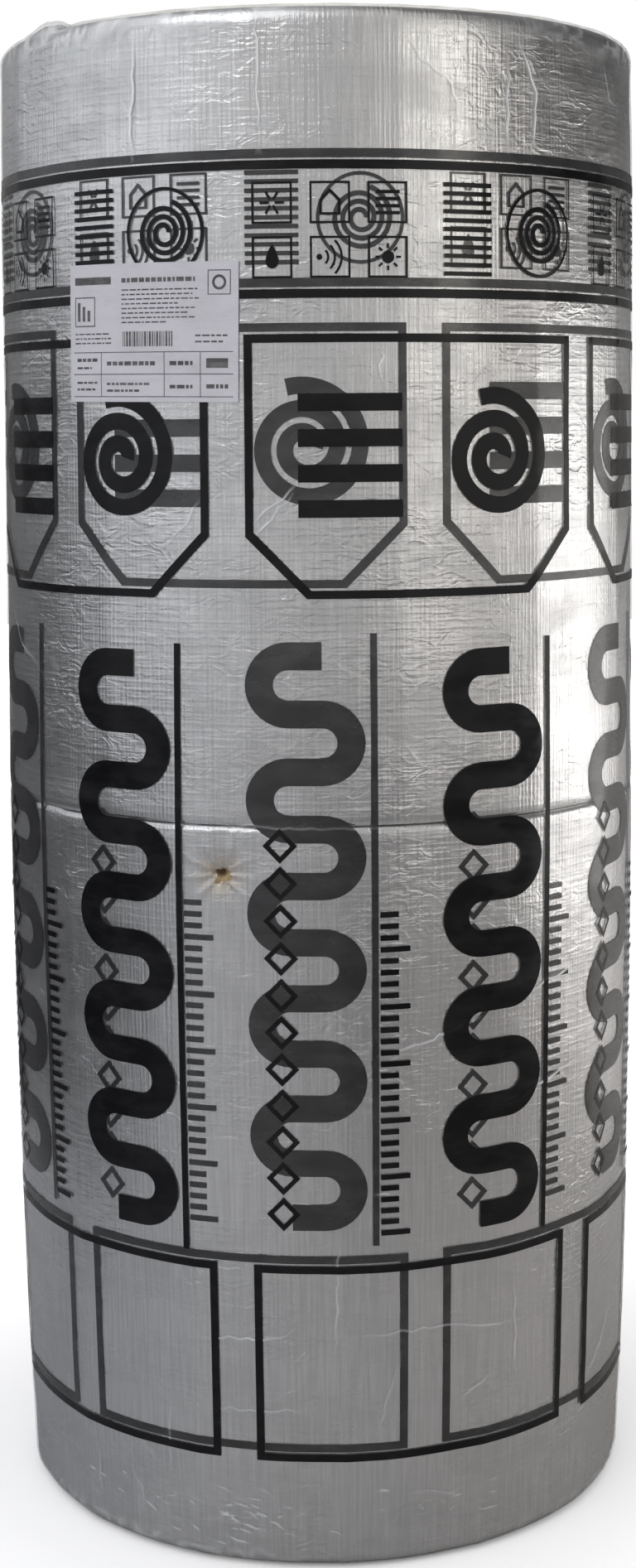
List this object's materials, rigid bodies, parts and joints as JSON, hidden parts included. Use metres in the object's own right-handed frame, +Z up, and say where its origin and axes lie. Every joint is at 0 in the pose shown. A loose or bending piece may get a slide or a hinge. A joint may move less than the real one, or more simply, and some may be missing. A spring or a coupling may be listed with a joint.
{
  "type": "lamella insulation mat roll pack",
  "caption": "Upright pack of foil-faced lamella insulation mats wound into rolls, stood end on end and wrapped in printed clear film with a paper label.",
  "frame": {"origin": "centre of the foot, on the floor", "axes": "+Z up along the rolls, -Y towards the front, +X to the right seen from the front"},
  "size_m": [0.5264, 0.5264, 1.2005],
  "materials": {
    "foil_facing": "crinkled aluminium foil over a glass grid, satin",
    "mineral_wool": "cut edge of yellow mineral wool, matt",
    "clear_film": "thin clear packing film, glossy, creased",
    "film_ink": "black print on the film",
    "label_paper": "satin label paper",
    "label_ink": "dark grey print on the label"
  },
  "bodies": {
    "root": {"mat_roll_lower": "foil_facing", "mat_roll_upper": "foil_facing", "wrap_film": "clear_film", "paper_label": "label_paper"}
  },
  "joints": []
}
